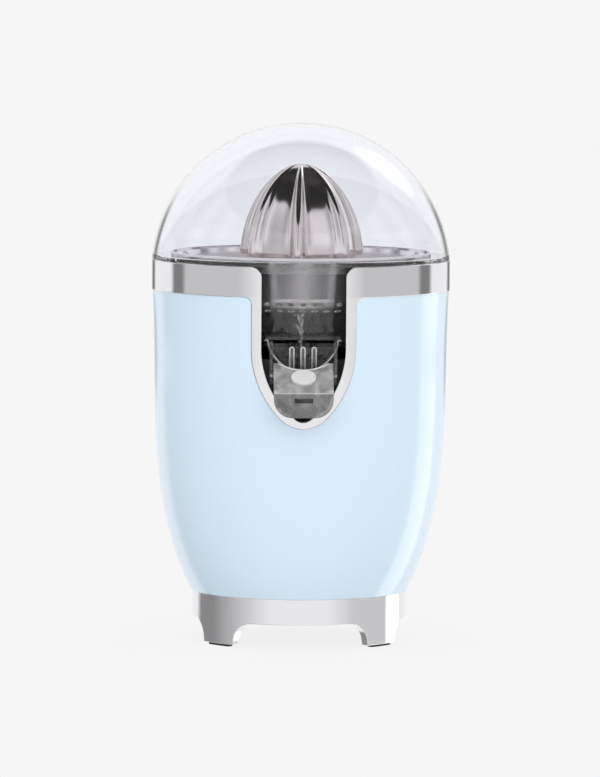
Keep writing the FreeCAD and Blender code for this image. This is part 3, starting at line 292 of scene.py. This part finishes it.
thick_clear = new_material("thick_clear_plastic", (0.95, 0.96, 0.97), 0.03)
shader_of(thick_clear).inputs["Transmission Weight"].default_value = 0.975
shader_of(thick_clear).inputs["IOR"].default_value = CLEAR_IOR
polished(thick_clear, scale=70, low=0.02, high=0.05, bump=0.35, depth=0.003)
soft_edges(thick_clear, CLEAR_EDGE_R)
dress(thick_clear, "juice_bowl")
# The beads' near-white, partly opaque colour is a painted highlight along the clear edges
highlight_bead_plastic = new_material("highlight_bead_plastic", (0.95, 0.95, 0.97), 0.1)
polished(highlight_bead_plastic, scale=500, low=0.06, high=0.15, bump=0.05, depth=0.0002)
shader_of(highlight_bead_plastic).inputs["Transmission Weight"].default_value = 0.3
spring = math.asin((TROUGH_AXIS_Z - TROUGH_TOP_Z) / TROUGH_R)
edge_path = [on_trough(-TROUGH_EDGE, TROUGH_TOP_Z)]
for i in range(TROUGH_STEPS + 1):
    angle = math.pi + spring + (math.pi - 2 * spring) * i / TROUGH_STEPS
    edge_path.append(on_trough(TROUGH_R * math.cos(angle), TROUGH_AXIS_Z + TROUGH_R * math.sin(angle)))
edge_path.append(on_trough(TROUGH_EDGE, TROUGH_TOP_Z))
paths = [edge_path]
for middle in (-RIB_PITCH, 0, RIB_PITCH):
    arch = [trough_floor(middle - RIB_BEAD_HALF)]
    for i in range(ARCH_STEPS + 1):
        angle = math.pi * (1 - i / ARCH_STEPS)
        arch.append(on_trough(middle + RIB_BEAD_HALF * math.cos(angle),
                              RIB_TOP_Z - RIB_BEAD_HALF + RIB_BEAD_HALF * math.sin(angle)))
    arch.append(trough_floor(middle + RIB_BEAD_HALF))
    paths.append(arch)
bead_piece("trough_highlight_beads", paths, "juice_bowl")

# Spout: clear plastic a little hazed by wear, hinged on two pins between the bowl's ears; tipped up it stops
# the drips. A satin disc on its slope is where a finger pushes. Beads run round the scoop in the slope's top
# edge and along the fold above the nozzle; their near-white colour is a painted highlight on those edges.
SPOUT_EDGE_R = 0.0013
SPOUT_EDGE_STEPS = 3
SHARP_ANGLE = math.radians(40)
SWIRL_SCALE = 120.0
# Shares of the spout's height round its fold, and the painted tones below and above that: painted shade on
# the nozzle, painted light on the slope
FOLD_BAND = (0.44, 0.48)
NOZZLE_SHADE_AND_SLOPE_LIGHT = (0.5, 1.1)
SLOPE_TOP = Vector((0, -0.0025, 0.0065))
SLOPE_END = Vector((0, -0.0205, -0.0085))
SCOOP_HALF = 0.0138
SCOOP_DEPTH = 0.0034
SCOOP_STEPS = 24
FOLD_HALF = 0.0150
FOLD_INSET = 0.0006


def ramp_of(tree, stops):
    # A colour ramp from pairs of position and grey level or colour
    node = add(tree, "ShaderNodeValToRGB")
    elements = node.color_ramp.elements
    while len(elements) > 1:
        elements.remove(elements[-1])
    for i, (position, level) in enumerate(stops):
        stop = elements[0] if i == 0 else elements.new(position)
        stop.position = position
        colour = level if isinstance(level, tuple) else (level, level, level)
        stop.color = (*colour, 1)
    return node


def coordinate(tree, kind, axis):
    # One coordinate of a point: Generated runs from 0 to 1 over the piece, Object is in metres
    place = add(tree, "ShaderNodeTexCoord")
    parts = add(tree, "ShaderNodeSeparateXYZ")
    tree.links.new(place.outputs[kind], parts.inputs[0])
    return parts.outputs[axis]


def mapped(tree, value, source, target=(0.0, 1.0), interpolation="LINEAR"):
    # A value moved from one range to another
    node = add(tree, "ShaderNodeMapRange", interpolation_type=interpolation)
    node.inputs["From Min"].default_value, node.inputs["From Max"].default_value = source
    node.inputs["To Min"].default_value, node.inputs["To Max"].default_value = target
    tree.links.new(value, node.inputs["Value"])
    return node.outputs["Result"]


def mixed(tree, share, first, second, blend_type="MIX"):
    # Two colours mixed by a share; each may be a socket or a constant
    mix = add(tree, "ShaderNodeMix", data_type="RGBA", blend_type=blend_type)
    for socket, value in ((mix.inputs[0], share), (mix.inputs[6], first), (mix.inputs[7], second)):
        if isinstance(value, (float, tuple)):
            socket.default_value = value
        else:
            tree.links.new(value, socket)
    return mix.outputs[2]


# Swirls: pale streaks and clear patches painted into the colour of a thick clear moulding; the pale streaks
# are painted highlights that stand in for light bent by its uneven walls
swirl, swirl_in, swirl_out = new_group("painted_swirl_highlights", [("Scale", 150.0)], [("Color", "NodeSocketColor")])
place = add(swirl, "ShaderNodeTexCoord")
streak = add(swirl, "ShaderNodeTexNoise", Detail=2.0, Roughness=0.4, Distortion=1.0)
spread = ramp_of(swirl, [(0.35, 0.55), (0.50, 0.74), (0.68, (0.98, 0.98, 1.0))])
swirl.links.new(place.outputs["Object"], streak.inputs["Vector"])
swirl.links.new(swirl_in.outputs["Scale"], streak.inputs["Scale"])
swirl.links.new(streak.outputs["Fac"], spread.inputs["Fac"])
swirl.links.new(spread.outputs["Color"], swirl_out.inputs["Color"])

hazed_clear = new_material("hazed_clear_plastic", (0.93, 0.93, 0.96), 0.06)
shader_of(hazed_clear).inputs["Transmission Weight"].default_value = 0.62
shader_of(hazed_clear).inputs["IOR"].default_value = CLEAR_IOR
polished(hazed_clear, scale=90, low=0.02, high=0.06, bump=0.5, depth=0.003)
# Painted light and shade: the slope is painted paler, as if lit from above, and the nozzle below its fold
# darker, as if in shade; the swirls on both are painted highlights
tree = hazed_clear.node_tree
swirl_highlight_streaks = add(tree, "ShaderNodeGroup", node_tree=swirl)
swirl_highlight_streaks.inputs["Scale"].default_value = SWIRL_SCALE
painted_slope_light = mapped(tree, coordinate(tree, "Generated", "Z"), FOLD_BAND, NOZZLE_SHADE_AND_SLOPE_LIGHT)
swirls_and_slope_light = mixed(tree, 1.0, swirl_highlight_streaks.outputs["Color"], painted_slope_light, blend_type="MULTIPLY")
tree.links.new(swirls_and_slope_light, shader_of(hazed_clear).inputs["Base Color"])
dress(hazed_clear, "pour_spout")
edge = nodes["pour_spout"].modifiers.new("rounded_edges", "BEVEL")
edge.width = SPOUT_EDGE_R
edge.segments = SPOUT_EDGE_STEPS
edge.limit_method = "ANGLE"
edge.angle_limit = SHARP_ANGLE
satin_pad = new_material("satin_pad", (0.72, 0.72, 0.71), 0.4)
polished(satin_pad, scale=600, low=0.35, high=0.5, bump=0.05, depth=0.0002)
dress(satin_pad, "spout_pad")
pins_low, pins_high = (Vector(corner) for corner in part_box("spout_pins"))
hinge = (pins_low + pins_high) / 2
scoop_path = []
for i in range(SCOOP_STEPS + 1):
    share = 2 * i / SCOOP_STEPS - 1
    down = SCOOP_DEPTH * (1 - share ** 2) / (SLOPE_TOP.z - SLOPE_END.z)
    scoop_path.append(hinge + SLOPE_TOP.lerp(SLOPE_END, down) + Vector((SCOOP_HALF * share, 0, 0)))
fold_path = [hinge + SLOPE_END + Vector((FOLD_HALF * side, FOLD_INSET, 0)) for side in (-1, 1)]
bead_piece("spout_highlight_beads", [scoop_path, fold_path], "spout")

# Strainer: pressed stainless steel with two rows of oval holes at its corner; its flange is polished and
# the wall below it left satin.
# Shares of the strainer's height between which the satin wall turns into the polished flange
FLANGE_START = (0.86, 0.92)
WALL_AND_FLANGE_ROUGHNESS = (0.34, 0.07)
sieve_steel = new_material("sieve_steel", (0.74, 0.70, 0.71), 0.2, metallic=1.0)
polished(sieve_steel, scale=300, low=0.28, high=0.36, bump=0.02, depth=0.0002)
tree = sieve_steel.node_tree
finish = mapped(tree, coordinate(tree, "Generated", "Z"), FLANGE_START, WALL_AND_FLANGE_ROUGHNESS)
tree.links.new(finish, shader_of(sieve_steel).inputs["Roughness"])
dress(sieve_steel, "strainer")

# Reamer: a pointed stainless steel dome with seven ribs, pressed over a nylon hub that drops on the drive
# shaft. This mesh stands for the CAD cone of the same size: its panels are hollowed and its ribs rounded.
REAMER_R = 0.0345
REAMER_POWER = 1.8
REAMER_SHEET = 0.0008
REAMER_CROWN = 0.003
RIBS = 7
RIB_TURN = math.radians(-4.5)
RIB_HALF = math.radians(6.2)
RIB_RELIEF = 0.0046
PANEL_HOLLOW = 0.0013
SKIRT_DROP = 0.0045
RIB_FOOT_STEP = 0.0001
RIB_STEPS = 28
RISE_STEPS = 44
INNER_RING_STEP = 4
TIP_CROWDING = 1.6
SKIRT_ANGLE = math.radians(50)
reamer_low, reamer_high = (Vector(corner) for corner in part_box("reamer_cone"))
rib_foot_z = reamer_low.z + SKIRT_DROP
reamer_rise = reamer_high.z - rib_foot_z


def ogive(r, height, rise):
    return r * max(0.0, 1 - (rise / height) ** REAMER_POWER) ** (1 / REAMER_POWER)


def reamer_ring(share, ribbed):
    # One ring of points: full radius on the ribs, hollowed in between
    rise = reamer_rise * share
    r = ogive(REAMER_R, reamer_rise, rise)
    pitch = 2 * math.pi / RIBS
    ring = []
    for i in range(RIBS * RIB_STEPS):
        turn = i * pitch / RIB_STEPS
        off_rib = min(turn % pitch, pitch - turn % pitch)
        rib_share = math.exp(-(off_rib / RIB_HALF) ** 4) if ribbed else 0.0
        hollow = PANEL_HOLLOW * math.sin(math.pi * off_rib / pitch) ** 2
        point_r = r * (1 - (RIB_RELIEF * (1 - rib_share) + hollow) / REAMER_R)
        angle = RIB_TURN + turn
        ring.append((point_r * math.sin(angle), -point_r * math.cos(angle), rib_foot_z + rise))
    return ring


def moved_ring(ring, z, inset=0.0):
    # The same ring at another height and drawn in towards the axis
    moved = []
    for x, y, _ in ring:
        r = math.hypot(x, y)
        moved.append((x * (r - inset) / r, y * (r - inset) / r, z))
    return moved


# Rings run from near the tip down the outside, round the skirt's edge and up the inside
shares = [1 - (i / RISE_STEPS) ** TIP_CROWDING for i in range(1, RISE_STEPS + 1)]
rings = [reamer_ring(share, True) for share in shares]
skirt = reamer_ring(0.0, False)
rings += [moved_ring(skirt, rib_foot_z - RIB_FOOT_STEP), moved_ring(skirt, reamer_low.z),
          moved_ring(skirt, reamer_low.z, REAMER_SHEET)]
inner_rise = reamer_rise - REAMER_CROWN
inner_r = REAMER_R - RIB_RELIEF - PANEL_HOLLOW - REAMER_SHEET
for share in reversed(shares[2::INNER_RING_STEP]):
    rise = inner_rise * share
    scale = ogive(inner_r, inner_rise, rise) / math.hypot(*skirt[0][:2])
    rings.append([(x * scale, y * scale, rib_foot_z + rise) for x, y, _ in skirt])
count = RIBS * RIB_STEPS
points = [point for ring in rings for point in ring]
faces = []
for k in range(len(rings) - 1):
    for i in range(count):
        j = (i + 1) % count
        faces.append((k * count + i, (k + 1) * count + i, (k + 1) * count + j, k * count + j))
tip, inner_tip = len(points), len(points) + 1
points += [(0, 0, reamer_high.z), (0, 0, rib_foot_z + inner_rise)]
last = (len(rings) - 1) * count
faces += [(tip, i, (i + 1) % count) for i in range(count)]
faces += [(inner_tip, last + (i + 1) % count, last + i) for i in range(count)]
steel = new_material("polished_steel", (0.79, 0.725, 0.715), 0.12, metallic=1.0)
polished(steel, scale=60, low=0.07, high=0.14, bump=0.04, depth=0.0005)
reamer_mesh = bpy.data.meshes.new("reamer_ribbed")
reamer_mesh.from_pydata(points, [], faces)
reamer_mesh.shade_smooth()
reamer_mesh.set_sharp_from_angle(angle=SKIRT_ANGLE)
reamer_mesh.materials.append(steel)
reamer = bpy.data.objects.new("reamer_ribbed", reamer_mesh)
bpy.context.collection.objects.link(reamer)
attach(reamer, "reamer")
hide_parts("reamer_cone")

# Dome lid: blown clear plastic, polished inside and out. It stands on the bowl's flange and keeps
# splashes in.
DOME_IOR = 1.42
clear = new_material("clear_plastic", (0.955, 0.97, 1.0), 0.01)
shader_of(clear).inputs["Transmission Weight"].default_value = 1.0
shader_of(clear).inputs["IOR"].default_value = DOME_IOR
polished(clear, scale=40, low=0.004, high=0.016)
dress(clear, "dome_lid")

# Stage: a pale floor of the background's tone that keeps a faint shadow close to the press. Chrome does not
# see it, so that the studio's cards go on below the horizon.
BACKGROUND = 0.9216
FLOOR_HALF = 12.0
FLOOR_TONE = (0.9, 0.9, 0.9, 1)
SHADOW_REACH = (0.07, 0.20)
SHADOW_SHARE = (0.07, 0.0)


def stage_sheet(name, points, faces, **seen):
    # A mesh that belongs to the studio, with the kinds of ray that may see it
    mesh = bpy.data.meshes.new(name)
    mesh.from_pydata(points, [], faces)
    sheet = bpy.data.objects.new(name, mesh)
    for kind in ("camera", "diffuse", "glossy", "transmission", "shadow"):
        setattr(sheet, "visible_" + kind, seen.get(kind, False))
    bpy.context.collection.objects.link(sheet)
    material = bpy.data.materials.new(name)
    material.use_nodes = True
    material.node_tree.nodes.clear()
    mesh.materials.append(material)
    return material.node_tree


def flat_corners(half_width, front, back, z):
    return [(-half_width, -front, z), (half_width, -front, z), (half_width, back, z), (-half_width, back, z)]


def either(tree, share, first, second):
    # One of two shaders, or a mix of them
    mix = add(tree, "ShaderNodeMixShader")
    tree.links.new(share, mix.inputs["Fac"])
    tree.links.new(first, mix.inputs[1])
    tree.links.new(second, mix.inputs[2])
    return mix.outputs[0]


def shown(tree, shader, kind="ShaderNodeOutputMaterial"):
    output = add(tree, kind)
    tree.links.new(shader, output.inputs["Surface"])


tree = stage_sheet("floor", flat_corners(FLOOR_HALF, FLOOR_HALF, FLOOR_HALF, 0), [(0, 1, 2, 3)],
                   camera=True, diffuse=True, transmission=True, shadow=True)
path = add(tree, "ShaderNodeLightPath")
seen = add(tree, "ShaderNodeMath", operation="ADD", use_clamp=True)
place = add(tree, "ShaderNodeTexCoord")
away = add(tree, "ShaderNodeVectorMath", operation="LENGTH")
lit = add(tree, "ShaderNodeBsdfDiffuse", Color=FLOOR_TONE)
plain = add(tree, "ShaderNodeEmission", Strength=BACKGROUND)
tree.links.new(place.outputs["Object"], away.inputs[0])
tree.links.new(path.outputs["Is Camera Ray"], seen.inputs[0])
tree.links.new(path.outputs["Is Transmission Ray"], seen.inputs[1])
keep = mapped(tree, away.outputs["Value"], SHADOW_REACH, SHADOW_SHARE, "SMOOTHSTEP")
faint = either(tree, keep, plain.outputs[0], lit.outputs[0])
shown(tree, either(tree, seen.outputs[0], lit.outputs[0], faint))

# Apron: a dark board with a pale middle on the floor in front, seen only where steel mirrors it through the
# clear plastic, so that the strainer's wall stands dark with one soft streak.
APRON_LEVELS = [(0.0, 0.12), (0.45, 0.14), (0.495, 0.9), (0.505, 0.9), (0.55, 0.14), (1.0, 0.12)]
APRON_HALF = 1.0
APRON_FRONT = 1.5
APRON_BACK = -0.12
APRON_Z = 0.002
tree = stage_sheet("apron", flat_corners(APRON_HALF, APRON_FRONT, APRON_BACK, APRON_Z), [(0, 1, 2, 3)],
                   transmission=True)
ramp = ramp_of(tree, APRON_LEVELS)
glow = add(tree, "ShaderNodeEmission")
path = add(tree, "ShaderNodeLightPath")
mirrored = add(tree, "ShaderNodeMath", operation="MINIMUM")
mirrored.inputs[1].default_value = 1.0
unseen = add(tree, "ShaderNodeBsdfTransparent")
across = mapped(tree, coordinate(tree, "Object", "X"), (-APRON_HALF, APRON_HALF))
tree.links.new(across, ramp.inputs["Fac"])
tree.links.new(ramp.outputs["Color"], glow.inputs["Color"])
tree.links.new(path.outputs["Glossy Depth"], mirrored.inputs[0])
shown(tree, either(tree, mirrored.outputs[0], unseen.outputs[0], glow.outputs[0]))

# Studio: a white card in front, then grey walls, dark flags and white strips to the back on each side, a
# row of cards above them, a dark ceiling, one small lamp and a softbox. The camera sees only the pale
# background. Each card is given by its angle from the front and its level.
LEVEL_SIDE = [
    (30, 1.0), (50, 0.65), (100, 0.65), (105, 0.25), (115, 0.25), (120, 1.0), (150, 1.0), (155, 0.25),
    (161, 0.25), (166, 1.0),
]
LOWER_LEFT = [(30, 1.0), (60, 0.7), (105, 0.3), (130, 0.3), (140, 1.0)]
LOWER_RIGHT = [(30, 1.0), (60, 0.7), (105, 0.7), (110, 2.0), (130, 2.0), (135, 1.0)]
UPPER_CARDS = 9
UPPER_PITCH = 13
UPPER_LEVELS = (0.5, 1.1)
UPPER_BACK = (140, 1.0)
# Where one set of cards gives way to the next, by height, and where the ceiling and the lamp begin, by
# the cosine of the angle to their aims
LEVEL_FROM = (-0.095, -0.075)
UPPER_FROM = (0.08, 0.20)
CEILING_AIM = Vector((0, -0.174, 0.985))
CEILING_FROM = (0.66, 0.70)
CEILING_TONE = (0.03, 0.03, 0.03, 1)
LAMP_AIM = Vector((0.515, 0.634, 0.579)).normalized()
LAMP_FROM = (0.965, 0.995)
LAMP_TONE = (2.2, 2.2, 2.2, 1)
WHITE = (1, 1, 1, 1)
SOFTBOX_SPOT = Vector((0.3, -1.6, 1.0))
SOFTBOX_AIM = Vector((0, 0, 0.14))
SOFTBOX_WIDTH = 1.4
SOFTBOX_HEIGHT = 1.2
SOFTBOX_POWER = 5.0


def azimuth(tree, direction):
    # A value from 0 to 1 round the vertical axis, 0.5 at the front and larger to the right, and the height
    parts = add(tree, "ShaderNodeSeparateXYZ")
    ahead = add(tree, "ShaderNodeMath", operation="MULTIPLY")
    ahead.inputs[1].default_value = -1.0
    turn = add(tree, "ShaderNodeMath", operation="ARCTAN2")
    tree.links.new(direction, parts.inputs[0])
    tree.links.new(parts.outputs["Y"], ahead.inputs[0])
    tree.links.new(parts.outputs["X"], turn.inputs[0])
    tree.links.new(ahead.outputs[0], turn.inputs[1])
    return mapped(tree, turn.outputs[0], (-math.pi, math.pi)), parts.outputs["Z"]


def round_stops(left, right):
    # Stops from the back on the left, past the front, to the back on the right
    return [(-angle, level) for angle, level in reversed(left)] + right


def round_ramp(tree, turn, stops):
    ramp = ramp_of(tree, [(angle / 360 + 0.5, level) for angle, level in stops])
    tree.links.new(turn, ramp.inputs["Fac"])
    return ramp.outputs["Color"]


def facing(tree, direction, aim, band):
    # A value that rises from 0 to 1 where a direction turns towards an aim
    dot = add(tree, "ShaderNodeVectorMath", operation="DOT_PRODUCT")
    dot.inputs[1].default_value = aim
    tree.links.new(direction, dot.inputs[0])
    return mapped(tree, dot.outputs["Value"], band, interpolation="SMOOTHSTEP")


world = bpy.data.worlds.new("studio")
bpy.context.scene.world = world
world.use_nodes = True
tree = world.node_tree
tree.nodes.clear()
place = add(tree, "ShaderNodeTexCoord")
direction = place.outputs["Generated"]
turn, rise = azimuth(tree, direction)
level = round_ramp(tree, turn, round_stops(LEVEL_SIDE, LEVEL_SIDE))
lower = round_ramp(tree, turn, round_stops(LOWER_LEFT, LOWER_RIGHT))
upper_side = [(UPPER_PITCH * (i + 0.5), UPPER_LEVELS[i % 2]) for i in range(UPPER_CARDS)] + [UPPER_BACK]
upper = round_ramp(tree, turn, round_stops(upper_side, upper_side))
screens = mixed(tree, mapped(tree, rise, LEVEL_FROM, interpolation="SMOOTHSTEP"), lower, level)
overhead = mixed(tree, facing(tree, direction, CEILING_AIM, CEILING_FROM), upper, CEILING_TONE)
screens = mixed(tree, mapped(tree, rise, UPPER_FROM, interpolation="SMOOTHSTEP"), screens, overhead)
screens = mixed(tree, facing(tree, direction, LAMP_AIM, LAMP_FROM), screens, LAMP_TONE)
studio = add(tree, "ShaderNodeBackground", Strength=1.0)
even_light = add(tree, "ShaderNodeBackground", Color=WHITE, Strength=1.0)
behind = add(tree, "ShaderNodeBackground", Color=WHITE, Strength=BACKGROUND)
path = add(tree, "ShaderNodeLightPath")
tree.links.new(screens, studio.inputs["Color"])
lit_by = either(tree, path.outputs["Is Diffuse Ray"], studio.outputs[0], even_light.outputs[0])
shown(tree, either(tree, path.outputs["Is Camera Ray"], lit_by, behind.outputs[0]), "ShaderNodeOutputWorld")

light = bpy.data.lights.new("front_softbox", "AREA")
light.shape = "RECTANGLE"
light.size = SOFTBOX_WIDTH
light.size_y = SOFTBOX_HEIGHT
light.energy = SOFTBOX_POWER
softbox = bpy.data.objects.new("front_softbox", light)
softbox.location = SOFTBOX_SPOT
softbox.rotation_euler = (SOFTBOX_AIM - SOFTBOX_SPOT).to_track_quat("-Z", "Y").to_euler()
softbox.visible_glossy = False
softbox.visible_transmission = False
bpy.context.collection.objects.link(softbox)

# Camera: far away with a long lens, a few degrees above the body's middle, rolled a little as the
# photo is.
CAMERA_AIM = Vector((0.0, 0.0, 0.1372))
CAMERA_SPOT = Vector((-0.079, -3.489, 0.412))
CAMERA_ROLL = math.radians(0.38)
CAMERA_SENSOR = 36.0
CAMERA_LENS = 296.2
camera_data = bpy.data.cameras.new("camera")
camera_data.sensor_width = CAMERA_SENSOR
camera_data.lens = CAMERA_LENS
camera = bpy.data.objects.new("camera", camera_data)
camera.location = CAMERA_SPOT
gaze = (CAMERA_AIM - CAMERA_SPOT).to_track_quat("-Z", "Y")
camera.rotation_mode = "QUATERNION"
camera.rotation_quaternion = gaze @ Quaternion((0, 0, 1), CAMERA_ROLL)
bpy.context.collection.objects.link(camera)
bpy.context.scene.camera = camera

bpy.context.scene.view_settings.view_transform = "Standard"
